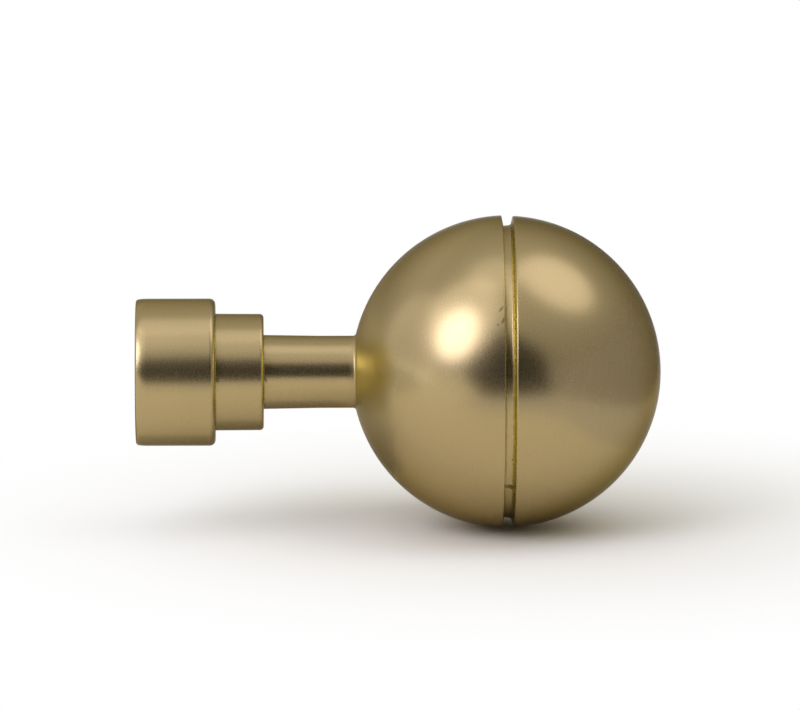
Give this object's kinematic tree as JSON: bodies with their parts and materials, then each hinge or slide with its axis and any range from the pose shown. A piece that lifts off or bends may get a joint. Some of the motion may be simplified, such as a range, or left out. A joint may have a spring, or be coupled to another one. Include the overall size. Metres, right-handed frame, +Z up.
{
  "type": "curtain pole finial",
  "caption": "Ball-shaped curtain pole finial with a grooved hollow ball, a short neck and a stepped socket that slides over the end of the pole.",
  "frame": {"origin": "centre of the seat at the bottom of the socket, where the pole's cut end stands", "axes": "+X along the pole's axis out to the ball, +Z up as in the picture, +Y away from the camera"},
  "size_m": [0.1155, 0.0688, 0.0688],
  "materials": {
    "satin_brass": "satin, spun, clear lacquered",
    "screw_steel": "blackened"
  },
  "bodies": {
    "root": {"socket_casting": "satin_brass", "front_cap": "satin_brass", "grub_screw": "screw_steel"}
  },
  "joints": []
}
